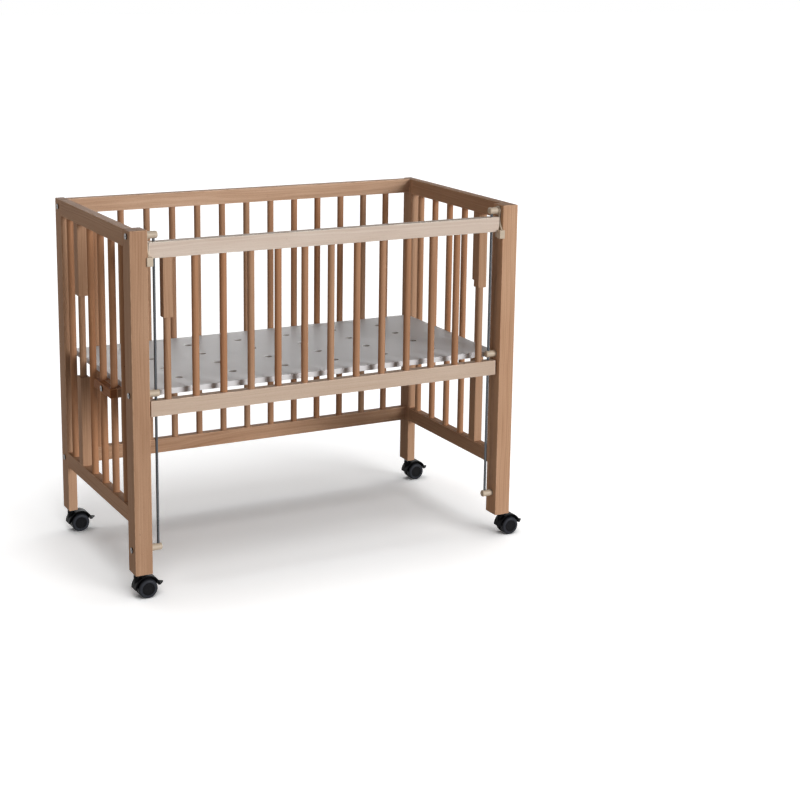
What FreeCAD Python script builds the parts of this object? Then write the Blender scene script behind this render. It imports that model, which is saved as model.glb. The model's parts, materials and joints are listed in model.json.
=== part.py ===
import FreeCAD, Part

import math
import os

from FreeCAD import Vector

# Bedside sleeper crib, in millimetres. The floor is Z = 0 and the drop gate is on the -Y side.
# Everything is drawn about the crib's own middle and exported about the middle of its overall
# box, which lies further right because the caster pedals all point that way.

# Overall size
LENGTH = 960.0
WIDTH = 526.0
HEIGHT = 823.0
POST_BOTTOM = 58.0

# Posts
FRONT_POST_X = 40.0
REAR_POST_X = 22.0
POST_Y = 45.0
POST_ROUNDING = 2.0

# Rails
RAIL_THICKNESS = 22.0
RAIL_ROUNDING = 1.5
BOTTOM_RAIL_UNDERSIDE = 172.0
END_TOP_RAIL_HEIGHT = 38.0
END_BOTTOM_RAIL_HEIGHT = 35.0
REAR_TOP_RAIL_HEIGHT = 35.0
REAR_BOTTOM_RAIL_HEIGHT = 35.0

# Bars
BAR_RADIUS = 8.0
BAR_TENON = 10.0
END_BAR_COUNT = 6
END_BAR_BAY = 33.0
LONG_BAR_COUNT = 13
LONG_BAR_BAY = 42.1
BLOCK_ROUNDING = 1.0
END_BLOCK_X = 22.0
END_BLOCK_Y = 28.0
END_BLOCK_UPPER_LENGTH = 169.5
END_BLOCK_LOWER_LENGTH = 215.0
END_BLOCK_BAR_INDEX = 4
GATE_BLOCK_SIDE = 22.0
GATE_BLOCK_LENGTH = 131.0

# Drop gate
GATE_HEIGHT = 383.0
GATE_TOP_RAIL_HEIGHT = 35.0
GATE_BOTTOM_RAIL_HEIGHT = 35.0
GATE_RECESS = 9.0
GATE_END_GAP = 5.5
GATE_LIFT_GAP = 6.5
MID_PEG_GAP = 7.5
GATE_LOWERED_GAP = 1.5

# Guide rods, their pegs and the gate's bushings
GUIDE_ROD_RADIUS = 3.0
GUIDE_ROD_INSET = 20.0
GUIDE_ROD_END_INSET = 1.0
PEG_RADIUS = 8.0
PEG_LENGTH = 28.0
PEG_NOSE_ROUNDING = 3.0
TOP_PEG_DROP = 13.5
LOW_PEG_RISE = 54.5
BUSHING_RADIUS = 5.0

# Latches
LATCH_EYE_RADIUS = 10.7
LATCH_EYE_THICKNESS = 4.8
LATCH_TONGUE_WIDTH = 4.4
LATCH_TONGUE_THICKNESS = 2.6
LATCH_HOOK_LENGTH = 10.5
LATCH_HOOK_TOP_RISE = 5.0
LATCH_HOOK_DROP = 15.0
LATCH_HOOK_FRONT = 4.0
LATCH_LIP = 3.5
LATCH_LEDGE_DEPTH = 8.0
LATCH_LEDGE_HEIGHT = 12.0
LATCH_ROUNDING = 1.2

# Base board
BOARD_TOP = 461.5
BOARD_THICKNESS = 12.5
BOARD_END_GAP = 3.0
BOARD_FRONT_GAP = 2.0
BOARD_REAR_GAP = 1.5
BOARD_CORNER_RADIUS = 3.0
AIR_HOLE_RADIUS = 9.5
AIR_HOLE_COLUMNS = 6
AIR_HOLE_ROWS = 4
AIR_HOLE_PITCH_X = 130.0
AIR_HOLE_PITCH_Y = 93.0

# Clamps that carry the board on the end bars
CLAMP_LENGTH = 113.0
CLAMP_HEIGHT = 20.0
CLAMP_OUTER_THICKNESS = 16.5
CLAMP_INNER_THICKNESS = 20.0
CLAMP_SEAM = 0.6
CLAMP_FRONT_BAR_INDEX = 1
CLAMP_ROUNDING = 1.5

# Bolts, nuts and dowels
BOLT_RADIUS = 3.0
BOLT_HEAD_RADIUS = 6.5
BOLT_HEAD_HEIGHT = 2.5
HEX_KEY_FLATS = 4.0
HEX_KEY_DEPTH = 1.6
PEG_BOLT_ENGAGEMENT = 13.0
REAR_BOLT_REACH = 45.0
REAR_BOLT_EDGE = 18.0
BARREL_NUT_RADIUS = 5.0
BARREL_NUT_LENGTH = 14.0
BARREL_NUT_DEPTH = 35.0
CLAMP_NUT_RADIUS = 5.5
CLAMP_NUT_THICKNESS = 5.0
DOWEL_RADIUS = 4.0
DOWEL_LENGTH = 36.0
DOWEL_PITCH = 18.0

# Casters
CASTER_INSET_X = 11.0
WHEEL_RADIUS = 22.0
WHEEL_WIDTH = 13.0
WHEEL_SPACING = 9.5
WHEEL_OUTER_ROUNDING = 5.0
WHEEL_INNER_ROUNDING = 1.0
HUB_CAP_RADIUS = 14.0
HUB_GROOVE_WIDTH = 0.7
HUB_GROOVE_DEPTH = 1.2
HUB_DISH_RADIUS = 11.0
HUB_DISH_DEPTH = 0.4
BRAKE_RING_RADIUS = 17.5
BRAKE_RING_DEPTH = 3.0
BRAKE_TOOTH_COUNT = 18
BRAKE_TOOTH_HEIGHT = 2.0
BRAKE_TOOTH_WIDTH = 1.6
HUB_CORE_RADIUS = 7.0
CASTER_TRAIL = 20.0
HOOD_RADIUS = 29.5
HOOD_WALL = 2.4
HOOD_WIDTH = 28.5
HOOD_ROUNDING = 0.8
HOOD_FRONT_EDGE_RISE = 8.5
HOOD_GROOVE_WIDTH = 1.0
HOOD_GROOVE_DEPTH = 0.7
WEB_THICKNESS = 8.0
AXLE_BOSS_RADIUS = 8.0
AXLE_RADIUS = 3.0
AXLE_CAP_WALL = 2.0
STEM_RADIUS = 4.0
STEM_BOSS_RADIUS = 8.0
STEM_GAP = 3.5
STEM_BOSS_CLEARANCE = 1.0
STEM_SEAT_DEPTH = 11.0
SOCKET_COLLAR_RADIUS = 8.5
SOCKET_COLLAR_HEIGHT = 2.5
SOCKET_RADIUS = 5.5
SOCKET_DEPTH = 36.0
SOCKET_CEILING = 2.0
PEDAL_REACH = 40.0
PEDAL_ROOT_WIDTH = 27.0
PEDAL_ROOT_LENGTH = 5.0
PEDAL_ROOT_THICKNESS = 3.4
PEDAL_TIP_RADIUS = 4.5
PEDAL_TIP_THICKNESS = 2.2
PEDAL_TIP_LIFT = 1.8
PEDAL_WHEEL_GAP = 2.5
PEDAL_RISE = 4.5
PEDAL_TONGUE_THICKNESS = 4.4
PEDAL_PIVOT_X = 15.0
PEDAL_PIVOT_RISE = 9.0
PEDAL_PIVOT_RADIUS = 1.6
PEDAL_EYE_RADIUS = 4.0
PEDAL_ROUNDING = 0.7

# Clearances
GLUE_GAP = 0.05
PRESS_GAP = 0.05
RUNNING_GAP = 0.1
SEAT_GAP = 0.3
BOLT_HOLE_GAP = 0.3

# Joint limits that the pieces are shaped for
LATCH_OPEN_DEG = 12.0
PEDAL_TRAVEL_DEG = 10.0

X = Vector(1, 0, 0)
Y = Vector(0, 1, 0)
Z = Vector(0, 0, 1)
LEFT = -1
RIGHT = 1
FRONT = -1
REAR = 1
SIDES = {"left": LEFT, "right": RIGHT}
ENDS = {"front": FRONT, "rear": REAR}

# Places that follow from the sizes above
END_FACE = LENGTH / 2
SIDE_FACE = WIDTH / 2
FRONT_POST_INNER = END_FACE - FRONT_POST_X
REAR_POST_INNER = END_FACE - REAR_POST_X
POST_INNER_Y = SIDE_FACE - POST_Y
POST_CENTRE_Y = SIDE_FACE - POST_Y / 2
END_BAR_X = END_FACE - RAIL_THICKNESS / 2
END_BAR_PITCH = 2 * (POST_INNER_Y - END_BAR_BAY) / (END_BAR_COUNT - 1)
GATE_END = FRONT_POST_INNER - GATE_END_GAP
LONG_BAR_PITCH = 2 * (GATE_END - LONG_BAR_BAY) / (LONG_BAR_COUNT - 1)
END_TOP_RAIL_UNDERSIDE = HEIGHT - END_TOP_RAIL_HEIGHT
REAR_TOP_RAIL_UNDERSIDE = HEIGHT - REAR_TOP_RAIL_HEIGHT
END_BOTTOM_RAIL_TOP = BOTTOM_RAIL_UNDERSIDE + END_BOTTOM_RAIL_HEIGHT
REAR_BOTTOM_RAIL_TOP = BOTTOM_RAIL_UNDERSIDE + REAR_BOTTOM_RAIL_HEIGHT
GATE_FRONT_Y = -SIDE_FACE + GATE_RECESS
GATE_Y = GATE_FRONT_Y + RAIL_THICKNESS / 2
GATE_BACK_Y = GATE_FRONT_Y + RAIL_THICKNESS
TOP_PEG_Z = HEIGHT - TOP_PEG_DROP
GATE_TOP = TOP_PEG_Z - PEG_RADIUS - GATE_LIFT_GAP
GATE_BOTTOM = GATE_TOP - GATE_HEIGHT
GATE_TOP_RAIL_UNDERSIDE = GATE_TOP - GATE_TOP_RAIL_HEIGHT
GATE_BOTTOM_RAIL_TOP = GATE_BOTTOM + GATE_BOTTOM_RAIL_HEIGHT
MID_PEG_Z = GATE_BOTTOM_RAIL_TOP + MID_PEG_GAP + PEG_RADIUS
LOW_PEG_Z = POST_BOTTOM + LOW_PEG_RISE
PEG_HEIGHTS = (LOW_PEG_Z, MID_PEG_Z, TOP_PEG_Z)
GUIDE_ROD_X = FRONT_POST_INNER - GUIDE_ROD_INSET
GATE_TRAVEL = min(
    GATE_TOP_RAIL_UNDERSIDE - MID_PEG_Z - PEG_RADIUS,
    GATE_BOTTOM - LOW_PEG_Z - PEG_RADIUS,
) - GATE_LOWERED_GAP
BOARD_FRONT_Y = -POST_INNER_Y + BOARD_FRONT_GAP
BOARD_REAR_Y = POST_CENTRE_Y - RAIL_THICKNESS / 2 - BOARD_REAR_GAP
BOARD_END_X = END_FACE - RAIL_THICKNESS - BOARD_END_GAP
BOARD_UNDERSIDE = BOARD_TOP - BOARD_THICKNESS
BOARD_CENTRE_Y = (BOARD_FRONT_Y + BOARD_REAR_Y) / 2
CLAMP_OUTER_FACE = END_BAR_X + CLAMP_OUTER_THICKNESS
CLAMP_INNER_FACE = END_BAR_X - CLAMP_INNER_THICKNESS
CLAMP_BOTTOM = BOARD_UNDERSIDE - CLAMP_HEIGHT
CLAMP_MID_Z = BOARD_UNDERSIDE - CLAMP_HEIGHT / 2
REAR_BOLT_HEIGHTS = (BOTTOM_RAIL_UNDERSIDE + REAR_BOLT_EDGE, HEIGHT - REAR_BOLT_EDGE)
CASTER_STEM_X = END_FACE - CASTER_INSET_X
WHEEL_OFFSET_Y = (WHEEL_SPACING + WHEEL_WIDTH) / 2
STEM_BOSS_TOP = POST_BOTTOM - SOCKET_COLLAR_HEIGHT - STEM_GAP
PEDAL_START = WHEEL_RADIUS + PEDAL_WHEEL_GAP
PEDAL_TIP = CASTER_STEM_X + CASTER_TRAIL + PEDAL_REACH
MIDDLE_X = (PEDAL_TIP - CLAMP_OUTER_FACE) / 2


def box(x_limits, y_limits, z_limits):
    """Block between pairs of limits, each given in either order."""
    low = Vector(min(x_limits), min(y_limits), min(z_limits))
    high = Vector(max(x_limits), max(y_limits), max(z_limits))
    size = high - low
    return Part.makeBox(size.x, size.y, size.z, low)


def cylinder(x, y, z, axis, length, radius):
    """Cylinder that starts at a point and runs along an axis."""
    return Part.makeCylinder(radius, length, Vector(x, y, z), axis)


def edges_along(shape, axis):
    """The straight edges of a shape that run along an axis."""
    found = []
    for edge in shape.Edges:
        if isinstance(edge.Curve, (Part.Line, Part.LineSegment)):
            if abs(edge.Curve.Direction.dot(axis)) > 0.999:
                found.append(edge)
    return found


def fuse(pieces):
    """One solid of several that touch or overlap."""
    whole = pieces[0].multiFuse(pieces[1:]) if len(pieces) > 1 else pieces[0]
    return whole.removeSplitter()


def cut(shape, tools):
    """The shape without each of the tools."""
    return shape.cut(tools) if tools else shape


def group(solids):
    """Separate solids that share one node."""
    return Part.makeCompound(solids)


def mirrored(shape, side):
    """A piece drawn for the right end, or its mirror image for the left."""
    if side == RIGHT:
        return shape
    return shape.mirror(Vector(0, 0, 0), X)


def turned(shape, side):
    """A piece drawn for the left end, or the same piece turned half a turn for the right."""
    copy = shape.copy()
    if side == RIGHT:
        copy.rotate(Vector(0, 0, 0), Z, 180)
    return copy


# Bars


def end_bar_y(index):
    """Y of a bar of the left end frame, counted from the gate side."""
    return -POST_INNER_Y + END_BAR_BAY + index * END_BAR_PITCH


def plain_end_bar_indexes():
    return [i for i in range(END_BAR_COUNT) if i != END_BLOCK_BAR_INDEX]


def long_bar_x(index):
    """X of a bar of the gate or of the rear side, counted from the left."""
    return -GATE_END + LONG_BAR_BAY + index * LONG_BAR_PITCH


def round_bar(x, y, bottom, top):
    """Round bar between two rails, with both ends glued into them."""
    return cylinder(x, y, bottom - BAR_TENON, Z, top - bottom + 2 * BAR_TENON, BAR_RADIUS)


def square_block(x, y, bottom, top, size_x, size_y):
    """Square stretch of a block bar, with its long edges eased."""
    block = box((x - size_x / 2, x + size_x / 2), (y - size_y / 2, y + size_y / 2), (bottom, top))
    return block.makeFillet(BLOCK_ROUNDING, edges_along(block, Z))


def bar_bores(places, bottom, top):
    """Bores for the bars' ends: each place is (x, y), and the bores reach past both rails' faces."""
    radius = BAR_RADIUS + GLUE_GAP
    reach = BAR_TENON + SEAT_GAP
    return [cylinder(x, y, bottom - reach, Z, top - bottom + 2 * reach, radius) for x, y in places]


# Rails


def rail(x_limits, y_limits, z_limits, along):
    """Rail with its long edges eased."""
    blank = box(x_limits, y_limits, z_limits)
    return blank.makeFillet(RAIL_ROUNDING, edges_along(blank, along))


def end_bar_places():
    return [(-END_BAR_X, end_bar_y(i)) for i in range(END_BAR_COUNT)]


def end_rail(bottom, top):
    """Rail of the left end frame, flush with the posts' outer faces, bored for bars and dowels."""
    blank = rail((-END_FACE, -END_FACE + RAIL_THICKNESS), (-POST_INNER_Y, POST_INNER_Y), (bottom, top), Y)
    bores = bar_bores(end_bar_places(), END_BOTTOM_RAIL_TOP, END_TOP_RAIL_UNDERSIDE)
    return cut(blank, bores + end_dowel_bores())


def rear_y_limits():
    return (POST_CENTRE_Y - RAIL_THICKNESS / 2, POST_CENTRE_Y + RAIL_THICKNESS / 2)


def long_bar_places(y):
    return [(long_bar_x(i), y) for i in range(LONG_BAR_COUNT)]


def rear_rail(bottom, top):
    """Rail between the rear posts, bored for bars, dowels, bolts and barrel nuts."""
    blank = rail((-REAR_POST_INNER, REAR_POST_INNER), rear_y_limits(), (bottom, top), X)
    bores = bar_bores(long_bar_places(POST_CENTRE_Y), REAR_BOTTOM_RAIL_TOP, REAR_TOP_RAIL_UNDERSIDE)
    return cut(blank, bores + rear_bolt_bores() + barrel_nut_bores() + rear_dowel_bores())


def gate_rail(bottom, top):
    """Rail of the gate, bored for bars and bushings."""
    blank = rail((-GATE_END, GATE_END), (GATE_FRONT_Y, GATE_BACK_Y), (bottom, top), X)
    bores = bar_bores(long_bar_places(GATE_Y), GATE_BOTTOM_RAIL_TOP, GATE_TOP_RAIL_UNDERSIDE)
    for side in SIDES.values():
        x = side * GUIDE_ROD_X
        bores.append(cylinder(x, GATE_Y, bottom - SEAT_GAP, Z, top - bottom + 1, BUSHING_RADIUS + PRESS_GAP))
    return cut(blank, bores)


# Hidden dowels


def end_dowel_lines(gap):
    """Dowels along Y between the end rails and the posts, grown by a gap, at both ends of the crib."""
    dowels = []
    low_mid = BOTTOM_RAIL_UNDERSIDE + END_BOTTOM_RAIL_HEIGHT / 2
    top_mid = HEIGHT - END_TOP_RAIL_HEIGHT / 2
    length = DOWEL_LENGTH + 2 * gap
    for side in SIDES.values():
        for end in ENDS.values():
            for mid in (low_mid, top_mid):
                for step in (-0.5, 0.5):
                    z = mid + step * DOWEL_PITCH
                    start = end * POST_INNER_Y - length / 2
                    dowels.append(cylinder(side * END_BAR_X, start, z, Y, length, DOWEL_RADIUS + gap))
    return dowels


def rear_dowel_lines(gap):
    """Dowels along X between the rear rails and the rear posts, beside each bolt."""
    dowels = []
    length = DOWEL_LENGTH + 2 * gap
    for side in SIDES.values():
        for z in (REAR_BOLT_HEIGHTS[0] - DOWEL_PITCH / 2, REAR_BOLT_HEIGHTS[1] - DOWEL_PITCH / 2):
            start = side * REAR_POST_INNER - length * (0.5 + side * 0.15)
            dowels.append(cylinder(start, POST_CENTRE_Y, z, X, length, DOWEL_RADIUS + gap))
    return dowels


def end_dowel_bores():
    return end_dowel_lines(GLUE_GAP)


def rear_dowel_bores():
    return rear_dowel_lines(GLUE_GAP)


def frame_dowels():
    return group(end_dowel_lines(0.0) + rear_dowel_lines(0.0))


# Bolts and nuts


def bolt(x, y, z, side, length):
    """Low-headed bolt along X whose head seats on a face at x and whose shank runs inwards."""
    shank = cylinder(x, y, z, X * -side, length, BOLT_RADIUS)
    head = cylinder(x, y, z, X * side, BOLT_HEAD_HEIGHT, BOLT_HEAD_RADIUS)
    key = Part.Face(hexagon(x + side * BOLT_HEAD_HEIGHT, y, z)).extrude(X * (-side * HEX_KEY_DEPTH))
    return fuse([shank, head]).cut(key)


def hexagon(x, y, z):
    """Hexagonal outline in the YZ plane, for a bolt's key."""
    radius = HEX_KEY_FLATS / math.sqrt(3)
    corners = []
    for step in range(7):
        angle = math.radians(60 * step)
        corners.append(Vector(x, y + radius * math.cos(angle), z + radius * math.sin(angle)))
    return Part.makePolygon(corners)


def peg_bolts():
    length = FRONT_POST_X + PEG_BOLT_ENGAGEMENT
    places = [(side, z) for side in SIDES.values() for z in PEG_HEIGHTS]
    return group([bolt(side * END_FACE, GATE_Y, z, side, length) for side, z in places])


def rear_bolts():
    length = REAR_POST_X + REAR_BOLT_REACH
    places = [(side, z) for side in SIDES.values() for z in REAR_BOLT_HEIGHTS]
    return group([bolt(side * END_FACE, POST_CENTRE_Y, z, side, length) for side, z in places])


def bolt_bore(x, y, z, side, length):
    """Clearance hole for a bolt, from its head's seat inwards."""
    return cylinder(x + side, y, z, X * -side, length + 1 + SEAT_GAP, BOLT_RADIUS + BOLT_HOLE_GAP)


def rear_bolt_bores():
    length = REAR_POST_X + REAR_BOLT_REACH
    places = [(side, z) for side in SIDES.values() for z in REAR_BOLT_HEIGHTS]
    return [bolt_bore(side * END_FACE, POST_CENTRE_Y, z, side, length) for side, z in places]


def barrel_nut_lines(gap):
    nuts = []
    length = BARREL_NUT_LENGTH + 2 * gap
    for side in SIDES.values():
        for z in REAR_BOLT_HEIGHTS:
            x = side * (REAR_POST_INNER - BARREL_NUT_DEPTH)
            nuts.append(cylinder(x, POST_CENTRE_Y - length / 2, z, Y, length, BARREL_NUT_RADIUS + gap))
    return nuts


def barrel_nut_bores():
    return barrel_nut_lines(PRESS_GAP)


def barrel_nuts():
    """Cross nuts in the rear rails that the rear bolts pull on."""
    holes = []
    for side in SIDES.values():
        for z in REAR_BOLT_HEIGHTS:
            x = side * (REAR_POST_INNER - BARREL_NUT_DEPTH - BARREL_NUT_RADIUS - 1)
            radius = BOLT_RADIUS + PRESS_GAP
            holes.append(cylinder(x, POST_CENTRE_Y, z, X * side, 3 * BARREL_NUT_RADIUS, radius))
    return group([nut.cut(holes) for nut in barrel_nut_lines(0.0)])


# Posts


def post_blank(x_limits, y_limits):
    blank = box(x_limits, y_limits, (POST_BOTTOM, HEIGHT))
    return blank.makeFillet(POST_ROUNDING, blank.Edges)


def socket_bore(side, end):
    """Bore for a caster socket in a post's foot."""
    depth = SOCKET_DEPTH + 1 + SEAT_GAP
    radius = SOCKET_RADIUS + PRESS_GAP
    return cylinder(side * CASTER_STEM_X, end * POST_CENTRE_Y, POST_BOTTOM - 1, Z, depth, radius)


def front_post(side):
    blank = post_blank((side * END_FACE, side * FRONT_POST_INNER), (-SIDE_FACE, -POST_INNER_Y))
    bores = [bolt_bore(side * END_FACE, GATE_Y, z, side, FRONT_POST_X + 2) for z in PEG_HEIGHTS]
    return cut(blank, bores + end_dowel_bores() + [socket_bore(side, FRONT)])


def rear_post(side):
    blank = post_blank((side * END_FACE, side * REAR_POST_INNER), (SIDE_FACE, POST_INNER_Y))
    bores = rear_bolt_bores() + rear_dowel_bores() + end_dowel_bores()
    return cut(blank, bores + [socket_bore(side, REAR)])


# Bars of each side


def end_bars():
    """Plain bars of the left end frame."""
    places = [(-END_BAR_X, end_bar_y(i)) for i in plain_end_bar_indexes()]
    return group([round_bar(x, y, END_BOTTOM_RAIL_TOP, END_TOP_RAIL_UNDERSIDE) for x, y in places])


def end_block_bar():
    """Bar of the left end frame that is square at both ends and round between."""
    x = -END_BAR_X
    y = end_bar_y(END_BLOCK_BAR_INDEX)
    low = END_BOTTOM_RAIL_TOP
    high = END_TOP_RAIL_UNDERSIDE
    pieces = [
        round_bar(x, y, low, high),
        square_block(x, y, low, low + END_BLOCK_LOWER_LENGTH, END_BLOCK_X, END_BLOCK_Y),
        square_block(x, y, high - END_BLOCK_UPPER_LENGTH, high, END_BLOCK_X, END_BLOCK_Y),
    ]
    return fuse(pieces)


def rear_bars():
    places = long_bar_places(POST_CENTRE_Y)
    return group([round_bar(x, y, REAR_BOTTOM_RAIL_TOP, REAR_TOP_RAIL_UNDERSIDE) for x, y in places])


def gate_bars():
    places = long_bar_places(GATE_Y)[1:-1]
    return group([round_bar(x, y, GATE_BOTTOM_RAIL_TOP, GATE_TOP_RAIL_UNDERSIDE) for x, y in places])


def gate_block_bar(index):
    """Outermost gate bar: a square block under the top rail, then round."""
    x = long_bar_x(index)
    low = GATE_BOTTOM_RAIL_TOP
    high = GATE_TOP_RAIL_UNDERSIDE
    block = square_block(x, GATE_Y, high - GATE_BLOCK_LENGTH, high, GATE_BLOCK_SIDE, GATE_BLOCK_SIDE)
    return fuse([round_bar(x, GATE_Y, low, high), block])


# Guides


def guide_rod(side):
    low = LOW_PEG_Z - PEG_RADIUS + GUIDE_ROD_END_INSET
    high = TOP_PEG_Z + PEG_RADIUS - GUIDE_ROD_END_INSET
    return cylinder(side * GUIDE_ROD_X, GATE_Y, low, Z, high - low, GUIDE_ROD_RADIUS)


def rod_peg(side, z):
    """Plastic peg on a post's inner face, threaded for its bolt and bored for the guide rod."""
    start = side * FRONT_POST_INNER
    body = cylinder(start, GATE_Y, z, X * -side, PEG_LENGTH, PEG_RADIUS)
    nose = [edge for edge in body.Edges if edge.BoundBox.XLength < 0.01 and
            abs(edge.BoundBox.Center.x - (start - side * PEG_LENGTH)) < 0.01]
    body = body.makeFillet(PEG_NOSE_ROUNDING, nose)
    thread = cylinder(start + side, GATE_Y, z, X * -side, PEG_BOLT_ENGAGEMENT + 1 + SEAT_GAP,
                      BOLT_RADIUS + PRESS_GAP)
    rod_hole = cylinder(side * GUIDE_ROD_X, GATE_Y, z - PEG_RADIUS - 1, Z, 2 * PEG_RADIUS + 2,
                        GUIDE_ROD_RADIUS + PRESS_GAP)
    return body.cut([thread, rod_hole])


def rod_pegs():
    return group([rod_peg(side, z) for side in SIDES.values() for z in PEG_HEIGHTS])


def gate_bushings():
    """Sleeves in the gate's rails that run on the guide rods."""
    sleeves = []
    for side in SIDES.values():
        for bottom, top in ((GATE_BOTTOM, GATE_BOTTOM_RAIL_TOP), (GATE_TOP_RAIL_UNDERSIDE, GATE_TOP)):
            x = side * GUIDE_ROD_X
            sleeve = cylinder(x, GATE_Y, bottom, Z, top - bottom, BUSHING_RADIUS)
            bore = cylinder(x, GATE_Y, bottom - 1, Z, top - bottom + 2, GUIDE_ROD_RADIUS + RUNNING_GAP)
            sleeves.append(sleeve.cut(bore))
    return group(sleeves)


# Latches


def latch_tongue_path(z_hook_top):
    """Curved line of the tongue in the YZ plane, from the eye forwards and down to the hook."""
    start = Vector(0, GATE_Y - LATCH_EYE_RADIUS + LATCH_TONGUE_WIDTH / 2, TOP_PEG_Z + 1)
    end_y = -SIDE_FACE - LATCH_HOOK_FRONT + LATCH_TONGUE_WIDTH
    end = Vector(0, end_y, z_hook_top - 2)
    middle = (start + end) * 0.5
    bow = Vector(0, end.z - start.z, start.y - end.y).normalize() * (0.12 * (end - start).Length)
    return start, middle - bow, end


def latch_tongue(x, z_hook_top):
    """Thin bowed tongue of even width between two arcs about one centre."""
    start, middle, end = latch_tongue_path(z_hook_top)
    arc = Part.Arc(start, middle, end).toShape()
    centre = arc.Curve.Center
    outlines = []
    for step in (-0.5, 0.5):
        points = []
        for point in (start, middle, end):
            ray = (point - centre).normalize()
            points.append(point + ray * (step * LATCH_TONGUE_WIDTH))
        outlines.append(points)
    inner, outer = outlines
    edges = [
        Part.Arc(*inner).toShape(),
        Part.LineSegment(inner[2], outer[2]).toShape(),
        Part.Arc(*outer[::-1]).toShape(),
        Part.LineSegment(outer[0], inner[0]).toShape(),
    ]
    face = Part.Face(Part.Wire(edges))
    face.translate(X * x)
    return face.extrude(X * LATCH_TONGUE_THICKNESS)


def latch():
    """Right latch: an eye round the top peg, a tongue, and a hook block under the gate's top rail."""
    eye_outer = FRONT_POST_INNER - (GATE_END_GAP - LATCH_EYE_THICKNESS) / 2
    eye = cylinder(eye_outer, GATE_Y, TOP_PEG_Z, X * -1, LATCH_EYE_THICKNESS, LATCH_EYE_RADIUS)
    hole = cylinder(eye_outer + 1, GATE_Y, TOP_PEG_Z, X * -1, LATCH_EYE_THICKNESS + 2, PEG_RADIUS + SEAT_GAP)
    hook_outer = FRONT_POST_INNER - SEAT_GAP
    hook_inner = hook_outer - LATCH_HOOK_LENGTH
    hook_top = GATE_TOP_RAIL_UNDERSIDE + LATCH_HOOK_TOP_RISE
    hook_bottom = GATE_TOP_RAIL_UNDERSIDE - LATCH_HOOK_DROP
    hook_front = -SIDE_FACE - LATCH_HOOK_FRONT
    block = box((hook_inner, hook_outer), (hook_front, GATE_FRONT_Y - SEAT_GAP), (hook_bottom, hook_top))
    block = block.makeFillet(LATCH_ROUNDING, block.Edges)
    lip = box((hook_inner + LATCH_ROUNDING, FRONT_POST_INNER + LATCH_LIP),
              (hook_front, -SIDE_FACE - SEAT_GAP),
              (hook_bottom, hook_top))
    lip = lip.makeFillet(LATCH_ROUNDING, lip.Edges)
    tongue_x = (FRONT_POST_INNER + GATE_END) / 2 - LATCH_TONGUE_THICKNESS / 2
    tongue = latch_tongue(tongue_x, hook_top)
    return fuse([eye.cut(hole), tongue.cut(hole), block, lip, latch_ledge(hook_inner, hook_outer)])


def latch_ledge(hook_inner, hook_outer):
    """Ledge under the rail, its top an arc about the peg so that it swings clear."""
    reach_y = GATE_FRONT_Y + LATCH_LEDGE_DEPTH
    front_y = GATE_FRONT_Y - SEAT_GAP - LATCH_ROUNDING
    drop = TOP_PEG_Z - GATE_TOP_RAIL_UNDERSIDE + SEAT_GAP
    radius = math.hypot(drop, GATE_Y - GATE_FRONT_Y)
    bottom = GATE_TOP_RAIL_UNDERSIDE - SEAT_GAP - LATCH_LEDGE_HEIGHT
    ledge = box((hook_inner, hook_outer), (front_y, reach_y), (bottom, TOP_PEG_Z))
    swing = cylinder(hook_inner - 1, GATE_Y, TOP_PEG_Z, X, LATCH_HOOK_LENGTH + 2, radius)
    return ledge.cut(swing)


# Base


def bed_board():
    board = box((-BOARD_END_X, BOARD_END_X), (BOARD_FRONT_Y, BOARD_REAR_Y), (BOARD_UNDERSIDE, BOARD_TOP))
    board = board.makeFillet(BOARD_CORNER_RADIUS, edges_along(board, Z))
    holes = []
    for column in range(AIR_HOLE_COLUMNS):
        for row in range(AIR_HOLE_ROWS):
            hole_x = (column - (AIR_HOLE_COLUMNS - 1) / 2) * AIR_HOLE_PITCH_X
            hole_y = BOARD_CENTRE_Y + (row - (AIR_HOLE_ROWS - 1) / 2) * AIR_HOLE_PITCH_Y
            hole_base = BOARD_UNDERSIDE - 1
            holes.append(cylinder(hole_x, hole_y, hole_base, Z, BOARD_THICKNESS + 2, AIR_HOLE_RADIUS))
    return board.cut(holes)


def clamp_y():
    """Middle of the left clamp, halfway between the two bars that it grips."""
    return end_bar_y(CLAMP_FRONT_BAR_INDEX) + END_BAR_PITCH / 2


def clamp_half(near_x, far_x, rounded_side):
    """One clamp block of the left end, grooved for its two bars and bored for its bolt."""
    y = clamp_y()
    limits = (y - CLAMP_LENGTH / 2, y + CLAMP_LENGTH / 2)
    block = box((near_x, far_x), limits, (CLAMP_BOTTOM, BOARD_UNDERSIDE))
    outer_edges = [edge for edge in block.Edges if edge.BoundBox.XLength < 0.01 and
                   abs(edge.BoundBox.Center.x - rounded_side) < 0.01]
    block = block.makeFillet(CLAMP_ROUNDING, outer_edges)
    tools = []
    for index in (CLAMP_FRONT_BAR_INDEX, CLAMP_FRONT_BAR_INDEX + 1):
        tools.append(cylinder(-END_BAR_X, end_bar_y(index), CLAMP_BOTTOM - 1, Z, CLAMP_HEIGHT + 2,
                              BAR_RADIUS + SEAT_GAP))
    tools.append(bolt_bore(-CLAMP_OUTER_FACE, y, CLAMP_MID_Z, LEFT, clamp_bolt_length()))
    tools.append(clamp_nut_pocket())
    return block.cut(tools)


def clamp_bolt_length():
    return CLAMP_OUTER_FACE - CLAMP_INNER_FACE - 2.0


def clamp_outer():
    return clamp_half(-CLAMP_OUTER_FACE, -END_BAR_X - CLAMP_SEAM / 2, -CLAMP_OUTER_FACE)


def clamp_inner():
    return clamp_half(-END_BAR_X + CLAMP_SEAM / 2, -CLAMP_INNER_FACE, -CLAMP_INNER_FACE)


def clamp_bolt():
    return bolt(-CLAMP_OUTER_FACE, clamp_y(), CLAMP_MID_Z, LEFT, clamp_bolt_length())


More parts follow.
